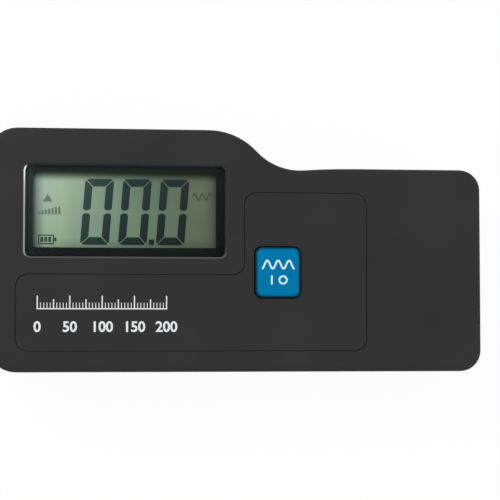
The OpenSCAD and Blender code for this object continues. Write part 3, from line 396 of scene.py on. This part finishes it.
MASS = metal("mass_steel", lin(140, 141, 146), 0.35, 0)
BRASS = metal("nut_brass", lin(206, 172, 96), 0.3, 0)
SCREW = metal("screw_steel", lin(168, 170, 174), 0.32, 2)
TIN = metal("switch_metal", lin(186, 188, 190), 0.36, 0)
CONTACT = metal("contact_metal", lin(200, 200, 192), 0.28, 1)
CAN = metal("can_metal", lin(196, 197, 200), 0.25, 2)
INK = plain("ink_white", lin(236, 238, 240))
SEGMENT = segment_material("segment_dark", [
    (-33, lin(84, 110, 100)), (-19, lin(55, 77, 75)), (-12, lin(44, 66, 65)),
    (-8, lin(38, 58, 57)), (4, lin(34, 51, 49)), (10, lin(38, 46, 44)),
], 0.52)
FAINT = segment_material("segment_faint", [(-33, lin(114, 130, 116)), (10, lin(78, 88, 72))], 0.9)

# Print and painted edge shade on the key, from the middle of its cap
KEY_CAP = 0.9                   # height of the cap, which is narrower than the skirt below it
KEY_CORNER = 2.0                # radius of the cap's corners
KEY_SHADE_WIDTH, KEY_SHADE_CURVE = 0.8, 1.5   # width of the painted shade along the cap's edge, and the power by which it fades inwards
KEY_SHADE_COLOUR, MARK_COLOUR = lin(5, 54, 66), lin(216, 244, 248)
# The wave's half length, its middle's place, its height, its line's width and its number of turns
WAVE_X, WAVE_Y, WAVE_TALL, WAVE_LINE, WAVES = 4.5, 2.1, 2.1, 0.5, 3
# The places of the line and the ring, their height and their line's width
LINE_X, RING_X, MARK_Y, MARK_TALL, MARK_LINE = -1.75, 1.35, -2.1, 2.5, 0.46
PRINT_DEPTH = 0.1               # the marks reach that far below the cap's top
SOFT_EDGE = 0.06                # width over which a mark's edge fades


class Field:
    """Math nodes on an object's place, in millimetres from a chosen point of the row frame."""

    def __init__(self, nt, origin):
        self.nt = nt
        self.x, self.y, self.z = (self.op("MULTIPLY", self.op("SUBTRACT", place(nt, axis), at), 1 / MM)
                                  for axis, at in zip("XYZ", origin))

    def op(self, operation, a, b=None, c=None):
        return math_node(self.nt, operation, a, b, c)

    def between(self, value, lo, hi):
        return self.op("MAXIMUM", self.op("MINIMUM", value, hi), lo)

    def under(self, value, limit):
        """1 where the value is below the limit, 0 above it, with a soft edge."""
        rise = self.op("MULTIPLY_ADD", self.op("SUBTRACT", limit, value), 1 / SOFT_EDGE, 0.5)
        return self.between(rise, 0.0, 1.0)

    def near(self, value, centre, half):
        return self.under(self.op("ABSOLUTE", self.op("SUBTRACT", value, centre)), half)

    def both(self, a, b):
        return self.op("MINIMUM", a, b)

    def length(self, a, b):
        return self.op("SQRT", self.op("MULTIPLY_ADD", a, a, self.op("MULTIPLY", b, b)))

    def paint(self, p, mask, colour):
        """Puts a colour over the material's own where the mask is 1."""
        own = p.inputs["Base Color"].links[0].from_socket
        feed(self.nt, p, {"Base Color": blend(self.nt, "MIX", own, colour, mask)})


def key_shade_ramp(f):
    """0 on the outline of the key's cap, and 1 from the painted edge shade's width inwards."""
    _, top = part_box("measure_key")
    cap = [v.co for v in nodes["measure_key"].data.vertices if v.co.z > top.z - KEY_CAP * MM]
    past = []
    for i, value in ((0, f.x), (1, f.y)):
        half = (max(c[i] for c in cap) - min(c[i] for c in cap)) / 2 / MM
        past.append(f.op("MAXIMUM", f.op("SUBTRACT", f.op("ABSOLUTE", value), half - KEY_CORNER), 0.0))
    inward = f.op("SUBTRACT", KEY_CORNER, f.length(*past))
    return f.op("POWER", f.between(f.op("DIVIDE", inward, KEY_SHADE_WIDTH), 0.0, 1.0), KEY_SHADE_CURVE)


def wave_on_key(f):
    """A wave line: the distance across it is its height difference over its slope's length."""
    turn = math.pi * WAVES / WAVE_X
    phase = f.op("MULTIPLY", f.op("ADD", f.x, WAVE_X), turn)
    rise = f.op("MULTIPLY_ADD", f.op("COSINE", phase), -WAVE_TALL / 2, WAVE_Y)
    slope = f.op("MULTIPLY", f.op("SINE", phase), WAVE_TALL / 2 * turn)
    across = f.op("DIVIDE", f.op("ABSOLUTE", f.op("SUBTRACT", f.y, rise)), f.length(slope, 1.0))
    return f.both(f.under(across, WAVE_LINE / 2), f.under(f.op("ABSOLUTE", f.x), WAVE_X))


def line_and_ring_on_key(f):
    """The plain signs for on and off."""
    line = f.both(f.near(f.x, LINE_X, MARK_LINE / 2), f.near(f.y, MARK_Y, MARK_TALL / 2))
    radius = f.length(f.op("SUBTRACT", f.x, RING_X), f.op("SUBTRACT", f.y, MARK_Y))
    return f.op("MAXIMUM", line, f.near(radius, (MARK_TALL - MARK_LINE) / 2, MARK_LINE / 2))


def print_on_key():
    """The key's painted edge shade, and its white marks."""
    nt = KEY.node_tree
    p = nt.nodes["Principled BSDF"]
    lo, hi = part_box("measure_key")
    f = Field(nt, ((lo.x + hi.x) / 2, (lo.y + hi.y) / 2, hi.z))
    # Painted shade along the cap's edge, where its rounded side and the gap around it are in shade
    f.paint(p, f.op("SUBTRACT", 1.0, key_shade_ramp(f)), KEY_SHADE_COLOUR)
    marks = f.op("MAXIMUM", wave_on_key(f), line_and_ring_on_key(f))
    f.paint(p, f.both(marks, f.near(f.z, 0.0, PRINT_DEPTH)), MARK_COLOUR)


print_on_key()

BATTERY_LEADS_SPLIT, SENSOR_LEADS_SPLIT = 0.0119, 0.0  # metres, between the two leads of each pair
assign = {
    "front_shell": BODY, "back_shell": BODY, "battery_cover": COVER, "case_screws": SCREW,
    "display_lens": lens_material(), "lcd_front_glass": liquid_crystal_material(),
    "lcd_rear_glass": plain("lcd_back", lin(150, 160, 148), 0.3),
    "lcd_reflector": plain("reflector_film", lin(190, 194, 186), 0.3),
    "lcd_frame": IVORY, "zebra_strips": zebra_material(), "face_label": LABEL, "measure_key": KEY,
    "tact_plunger": BLACK, "tact_switch": BLACK, "main_board": board_material(), "board_screws": SCREW,
    "board_chips": CHIP, "board_capacitor": sleeve_material(), "board_crystal": CAN,
    "function_switch": TIN, "function_knob": BLACK, "range_switch": TIN, "range_knob": BLACK,
    "output_jack": BLACK, "battery_block": jacket_material(), "battery_terminals": CONTACT,
    "battery_snap": BLACK, "battery_pad": FOAM, "sensor_boot": RUBBER, "sensor_can": STEEL,
    "battery_leads": wires_material("lead_jacket", "Z", BATTERY_LEADS_SPLIT,
                                    lin(26, 26, 27), lin(170, 24, 22)),
    "sensor_leads": wires_material("sensor_jacket", "Y", SENSOR_LEADS_SPLIT,
                                   lin(30, 30, 31), lin(206, 206, 200)),
    "sensor_base": STEEL, "piezo_ring": CERAMIC, "seismic_mass": MASS, "stack_nut": BRASS,
    "neck_nut": BRASS, "probe_tip": TIP,
}
for name, obj in nodes.items():
    material = assign[name]
    if obj.material_slots:
        for s in obj.material_slots:
            s.material = material
    else:
        obj.data.materials.append(material)

# The CAD meshes are welded and shaded smooth where they curve; their points stay as they are
WELD_REACH = 0.000002  # metres
SMOOTH_BELOW = math.radians(32)
for obj in nodes.values():
    mesh = obj.data
    if "custom_normal" in mesh.attributes:
        mesh.attributes.remove(mesh.attributes["custom_normal"])
    for face in mesh.polygons:
        face.use_smooth = True
    weld = obj.modifiers.new("weld", "WELD")
    weld.merge_threshold = WELD_REACH
    split = obj.modifiers.new("split", "EDGE_SPLIT")
    split.split_angle = SMOOTH_BELOW
    split.use_edge_sharp = False


# Shapes of the added pieces
def make(name, mesh, material, body="housing"):
    mesh.name = name
    obj = bpy.data.objects.new(name, mesh)
    obj.data.materials.append(material)
    bpy.context.collection.objects.link(obj)
    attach(obj, body)


def rectangle(x, y, width, height):
    return [(x, y), (x + width, y), (x + width, y + height), (x, y + height)]


def rounded(x0, y0, x1, y1, r, steps=6):
    """A rectangle's outline with corners of radius r."""
    pts = []
    for mid_x, mid_y, start in ((x0 + r, y0 + r, 180), (x1 - r, y0 + r, 270),
                                (x1 - r, y1 - r, 0), (x0 + r, y1 - r, 90)):
        for i in range(steps + 1):
            a = math.radians(start + 90 * i / steps)
            pts.append((mid_x + r * math.cos(a), mid_y + r * math.sin(a)))
    return pts


def wave(x0, x1, y, tall, thick, turns, steps=60):
    """A sine line as a ribbon of short plates."""
    line = []
    for i in range(steps + 1):
        t = i / steps
        line.append(Vector((x0 + (x1 - x0) * t, y + tall / 2 * math.sin(2 * math.pi * turns * t))))
    sides = []
    for i, p in enumerate(line):
        along = (line[min(i + 1, steps)] - line[max(i - 1, 0)]).normalized()
        across = Vector((-along.y, along.x)) * thick / 2
        sides.append((p - across, p + across))
    return [[tuple(a[0]), tuple(b[0]), tuple(b[1]), tuple(a[1])] for a, b in zip(sides, sides[1:])]


def ring_of(bm, points, z):
    """Vertices at these points, in millimetres, at height z."""
    return [bm.verts.new((x * MM, y * MM, z * MM)) for x, y in points]


def wall(bm, a, b):
    """Faces between two rings of as many points."""
    for j in range(len(a)):
        k = (j + 1) % len(a)
        bm.faces.new((a[j], a[k], b[k], b[j]))


def closed_mesh(bm):
    """The finished mesh, its faces turned outwards and those of more than four corners split."""
    bmesh.ops.recalc_face_normals(bm, faces=bm.faces)
    bmesh.ops.triangulate(bm, faces=[f for f in bm.faces if len(f.verts) > 4])
    mesh = bpy.data.meshes.new("piece")
    bm.to_mesh(mesh)
    bm.free()
    return mesh


def frame_mesh(outer, inner, z0, z1):
    """A flat closed frame between two loops of as many points."""
    bm = bmesh.new()
    rings = [ring_of(bm, loop, z) for loop, z in ((outer, z0), (outer, z1), (inner, z1), (inner, z0))]
    for a, b in zip(rings, rings[1:] + rings[:1]):
        wall(bm, a, b)
    return closed_mesh(bm)


def plates_mesh(polygons, z0, z1):
    """Thin solid plates, one for each polygon."""
    bm = bmesh.new()
    for poly in polygons:
        low, high = ring_of(bm, poly, z0), ring_of(bm, poly, z1)
        bm.faces.new(list(reversed(low)))
        bm.faces.new(high)
        wall(bm, low, high)
    return closed_mesh(bm)


def text_mesh(text, x, y, height, z, thickness, bold):
    """Flat lettering as a thin solid, centred on x, its figures that tall from y upwards."""
    curve = bpy.data.curves.new("text", "FONT")
    curve.body = text
    curve.size = 1
    curve.align_x = "CENTER"
    curve.extrude = 0.5
    curve.offset = bold
    curve.resolution_u = 6
    temp = bpy.data.objects.new("text", curve)
    bpy.context.collection.objects.link(temp)
    bpy.context.view_layer.update()
    mesh = bpy.data.meshes.new_from_object(temp.evaluated_get(bpy.context.evaluated_depsgraph_get()))
    bpy.data.objects.remove(temp)
    foot = min(v.co.y for v in mesh.vertices)
    k = height / (max(v.co.y for v in mesh.vertices) - foot)
    for v in mesh.vertices:
        v.co = Vector((v.co.x * k + x, (v.co.y - foot) * k + y, z + (v.co.z + 0.5) * thickness)) * MM
    mesh.materials.clear()
    return mesh


# The window's black border, printed behind the lens
lens_lo, lens_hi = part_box("display_lens")
LX0, LY0, LX1, LY1 = (v / MM for v in (lens_lo.x, lens_lo.y, lens_hi.x, lens_hi.y))
LZ0, LZ1 = lens_lo.z / MM, lens_hi.z / MM
BORDER_INSET, BORDER_R, OPENING_R = 0.02, 1.7, 0.25
BORDER_LOW, BORDER_MID, BORDER_HIGH = LZ0 + 0.02, LZ0 + 0.05, LZ0 + 0.08
OPENING_FROM, OPENING_TO = (-32.7, 0.56), (17.0, 21.25)
OPENING = (*below(*OPENING_FROM, BORDER_MID), *below(*OPENING_TO, BORDER_MID))
border_outline = rounded(LX0 + BORDER_INSET, LY0 + BORDER_INSET, LX1 - BORDER_INSET, LY1 - BORDER_INSET,
                         BORDER_R)
make("display_border", frame_mesh(border_outline, rounded(*OPENING, OPENING_R), BORDER_LOW, BORDER_HIGH),
     mask_material())

# The window's rim: a thin frame over the lens's edge and the gap around it, coloured with a painted highlight
# and painted shade
RIM, RIM_R, RIM_OVER = 0.42, 2.0, 0.02
PAST_LEFT, PAST_BOTTOM, PAST_RIGHT, PAST_TOP = 0.29, 0.48, 0.51, 0.15  # how far it reaches past the lens
RIM_X0, RIM_Y0, RIM_X1, RIM_Y1 = LX0 - PAST_LEFT, LY0 - PAST_BOTTOM, LX1 + PAST_RIGHT, LY1 + PAST_TOP


def rim_highlight_material():
    """Painted highlight on the window's rim, strongest at its upper left, fainter along the bottom and none
    along the top; elsewhere painted shade of the gap around the lens.
    """
    m, nt, p = new_material("window_rim_painted_highlight")
    # Painted highlight along the left side, brightest near the top
    left = place_ramp(nt, "Y", (RIM_Y0, RIM_Y1), [
        (RIM_Y0, lin(150, 152, 151)), (RIM_Y0 + 12, lin(160, 163, 161)),
        (RIM_Y1 - 6, lin(186, 190, 188)), (RIM_Y1 - 1.5, lin(246, 248, 248)),
    ])
    # Elsewhere: a fainter painted highlight along the bottom, and painted shade of the gap, darkest along the
    # top
    rest = place_ramp(nt, "Y", (RIM_Y0, RIM_Y1), [
        (RIM_Y0, lin(82, 83, 86)), (RIM_Y0 + 1, lin(84, 86, 88)), (RIM_Y0 + 3, lin(50, 54, 53)),
        (RIM_Y1 - 1.4, lin(46, 50, 49)), (RIM_Y1 - 0.6, lin(36, 39, 39)),
    ])
    side = place_ramp(nt, "X", (RIM_X0, RIM_X0 + 3), [
        (RIM_X0 + RIM, grey(0)), (RIM_X0 + 2.4 * RIM, grey(1)),
    ])
    tone = blend(nt, "MIX", left, rest, side)
    feed(nt, p, {"Base Color": tone, "Roughness": 0.4, "Specular IOR Level": 0.15})
    return m


rim_outer = rounded(RIM_X0, RIM_Y0, RIM_X1, RIM_Y1, RIM_R)
rim_inner = rounded(RIM_X0 + RIM, RIM_Y0 + RIM, RIM_X1 - RIM, RIM_Y1 - RIM, RIM_R - RIM)
make("window_rim_painted_highlight", frame_mesh(rim_outer, rim_inner, LZ1 - RIM_OVER, FACE_Z + RIM_OVER), rim_highlight_material())

# The display's figures: three seven-segment zeros and a point
_, glass_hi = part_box("lcd_front_glass")
GLASS_Z = glass_hi.z / MM
FIGURES_LOW, FIGURES_HIGH = GLASS_Z + 0.01, GLASS_Z + 0.05
SLANT = math.tan(math.radians(4.5))
DIGITS, DIGIT_W, DIGIT_H, STROKE, PITCH_X = 3, 7.85, 18.1, 2.1, 10.33
CUT = 0.16      # half the gap of a mitred joint
CORNER = 0.85   # what is cut off an outer corner
MIDDLE = 0.4    # half the gap between upper and lower bars
END_SHARES = (0.28, 0.22)  # how far a bar's blunt end draws in, of its stroke
DIGITS_AT, POINT_AT, POINT = (-19.95, 1.3), (-1.4, 1.35), 1.5


def lean(points, x0, y0):
    return [(x0 + x + y * SLANT, y0 + y) for x, y in points]


def zero(x0, y0):
    """The six bars of a seven-segment zero, with mitred joints, cut corners and blunt ends in the middle."""
    w, h, s, c, k = DIGIT_W, DIGIT_H, STROKE, CUT, CORNER
    end = h / 2 + MIDDLE
    inner, outer = (share * s for share in END_SHARES)
    far, near = (k + c) / 2, (k - c) / 2
    top = [(k, h), (w - k, h), (w - far, h - near), (w - s - c, h - s), (s + c, h - s), (far, h - near)]
    left = [(near, h - far), (s, h - s - c), (s, end + inner), (s - inner, end), (inner, end),
            (0, end + outer), (0, h - k)]
    bars = []
    for bar in (top, left, [(w - x, y) for x, y in left]):
        bars += [bar, [(x, h - y) for x, y in bar]]
    return [lean(bar, x0, y0) for bar in bars]


figures = []
digits_x, digits_y = below(*DIGITS_AT, GLASS_Z)
for i in range(DIGITS):
    figures += zero(digits_x + i * PITCH_X, digits_y)
figures.append(lean(rectangle(0, 0, POINT, POINT), *below(*POINT_AT, GLASS_Z)))
make("display_digits", plates_mesh(figures, FIGURES_LOW, FIGURES_HIGH), SEGMENT)

# The battery sign: a cell with its cap and three bars
SIGN_AT, SIGN_W, SIGN_H, SIGN_LINE = (-31.2, 1.4), 4.3, 2.6, 0.3
SIGN_CAP_W, SIGN_CAP_H = 0.6, 1.0
SIGN_BARS, SIGN_BAR_X, SIGN_BAR_PITCH, SIGN_BAR_W, SIGN_BAR_H = 3, 0.62, 1.08, 0.75, 1.4
sign_x, sign_y = below(*SIGN_AT, GLASS_Z)
side_h = SIGN_H - 2 * SIGN_LINE
sign = [
    rectangle(sign_x, sign_y, SIGN_W, SIGN_LINE),
    rectangle(sign_x, sign_y + SIGN_H - SIGN_LINE, SIGN_W, SIGN_LINE),
    rectangle(sign_x, sign_y + SIGN_LINE, SIGN_LINE, side_h),
    rectangle(sign_x + SIGN_W - SIGN_LINE, sign_y + SIGN_LINE, SIGN_LINE, side_h),
    rectangle(sign_x + SIGN_W, sign_y + (SIGN_H - SIGN_CAP_H) / 2, SIGN_CAP_W, SIGN_CAP_H),
]
for i in range(SIGN_BARS):
    sign.append(rectangle(sign_x + SIGN_BAR_X + i * SIGN_BAR_PITCH, sign_y + (SIGN_H - SIGN_BAR_H) / 2,
                          SIGN_BAR_W, SIGN_BAR_H))
make("display_battery_sign", plates_mesh(sign, FIGURES_LOW, FIGURES_HIGH), SEGMENT)

# Faint signs beside the figures: a pointer, a row of level bars and a wave
POINTER_AT, POINTER_W, POINTER_H = (-30.0, 13.0), 2.6, 2.1
LEVELS_AT, LEVELS, LEVEL_PITCH, LEVEL_W, LEVEL_H, LEVEL_STEP = (-31.2, 9.5), 7, 0.9, 0.55, 0.9, 0.2
FAINT_WAVE_AT, FAINT_WAVE_W, FAINT_WAVE_TALL, FAINT_WAVE_LINE, FAINT_WAVES = (10.7, 14.6), 5.2, 1.6, 0.45, 2.5
x, y = below(*POINTER_AT, GLASS_Z)
faint = [[(x, y), (x + POINTER_W, y), (x + POINTER_W / 2, y + POINTER_H)]]
x, y = below(*LEVELS_AT, GLASS_Z)
for i in range(LEVELS):
    faint.append(rectangle(x + i * LEVEL_PITCH, y, LEVEL_W, LEVEL_H + i * LEVEL_STEP))
x, y = below(*FAINT_WAVE_AT, GLASS_Z)
faint += wave(x, x + FAINT_WAVE_W, y, FAINT_WAVE_TALL, FAINT_WAVE_LINE, FAINT_WAVES)
make("display_signs", plates_mesh(faint, FIGURES_LOW, FIGURES_HIGH), FAINT)

# The scale on the label, with its numbers
_, label_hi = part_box("face_label")
LABEL_Z = label_hi.z / MM
INK_T = 0.02
SCALE_X0, SCALE_X1, SCALE_Y, SCALE_LINE = -31.3, 3.6, -15.9, 0.3
TICKS, BOLD_HALF, FINE_HALF = 40, 0.16, 0.1
# Height and half width of every tenth tick, of every fifth, and of the rest
TICK_SIZES = ((10, 3.4, BOLD_HALF), (5, 2.4, BOLD_HALF), (1, 1.5, FINE_HALF))
NUMBERS, NUMBER_Y, NUMBER_H, NUMBER_BOLD = ("0", "50", "100", "150", "200"), -22.35, 2.95, 0.022


def on_scale(share):
    return SCALE_X0 + (SCALE_X1 - SCALE_X0) * share


ticks = []
for i in range(TICKS + 1):
    tall, half = next((tall, half) for every, tall, half in TICK_SIZES if i % every == 0)
    ticks.append(rectangle(on_scale(i / TICKS) - half, SCALE_Y, 2 * half, tall))
ticks.append(rectangle(SCALE_X0 - BOLD_HALF, SCALE_Y - SCALE_LINE,
                       SCALE_X1 - SCALE_X0 + 2 * BOLD_HALF, SCALE_LINE))
make("label_scale", plates_mesh(ticks, LABEL_Z, LABEL_Z + INK_T), INK)
for i, text in enumerate(NUMBERS):
    middle = on_scale(i / (len(NUMBERS) - 1))
    number = text_mesh(text, middle, NUMBER_Y, NUMBER_H, LABEL_Z, INK_T, NUMBER_BOLD)
    make("label_number_" + text, number, INK)

# Floor and light; sizes and places are in metres
FLOOR_HALF, FLOOR_GAP, FLOOR_GLOW = 3, 0.00005, 0.95
SKY_LIGHT = 0.55


def floor_material():
    """A white floor that glows to the camera and still takes the object's shadow."""
    m, nt, mix = mixed_material("floor_white")
    seen = math_node(nt, "MULTIPLY", node(nt, "LightPath").outputs["Is Camera Ray"], FLOOR_GLOW)
    matt = node(nt, "BsdfDiffuse", {"Color": grey(0.9)})
    glow = node(nt, "Emission", {"Color": WHITE, "Strength": 1})
    feed(nt, mix, {0: seen, 1: matt.outputs[0], 2: glow.outputs[0]})
    return m


floor_mesh = bpy.data.meshes.new("floor")
floor_mesh.from_pydata([(x * FLOOR_HALF, y * FLOOR_HALF, 0) for x, y in ((-1, -1), (1, -1), (1, 1), (-1, 1))],
                       [], [(0, 1, 2, 3)])
floor = bpy.data.objects.new("floor", floor_mesh)
floor_mesh.materials.append(floor_material())
floor.location.z = cad_box[0][2] - FLOOR_GAP
bpy.context.collection.objects.link(floor)

world = bpy.data.worlds.new("world")
bpy.context.scene.world = world
world.use_nodes = True
sky = world.node_tree
sky.nodes.clear()
lit = node(sky, "Background", {"Color": WHITE, "Strength": SKY_LIGHT})
seen = node(sky, "Background", {"Color": WHITE, "Strength": 1})
sky_mix = node(sky, "MixShader", {0: node(sky, "LightPath").outputs["Is Camera Ray"],
                                  1: lit.outputs[0], 2: seen.outputs[0]})
node(sky, "OutputWorld", {0: sky_mix.outputs[0]})


def lamp(name, where, size, power):
    """A round soft lamp that shines at the object's middle."""
    data = bpy.data.lights.new(name, "AREA")
    data.shape = "DISK"
    data.size = size
    data.energy = power
    obj = bpy.data.objects.new(name, data)
    obj.location = where
    obj.rotation_euler = (-Vector(where)).to_track_quat("-Z", "Y").to_euler()
    bpy.context.collection.objects.link(obj)


lamp("key_light", (-0.7, 0.6, 0.9), 0.7, 7.6)
lamp("fill_light", (0.9, -0.3, 0.8), 0.9, 3.4)

bpy.context.scene.view_settings.view_transform = "Standard"
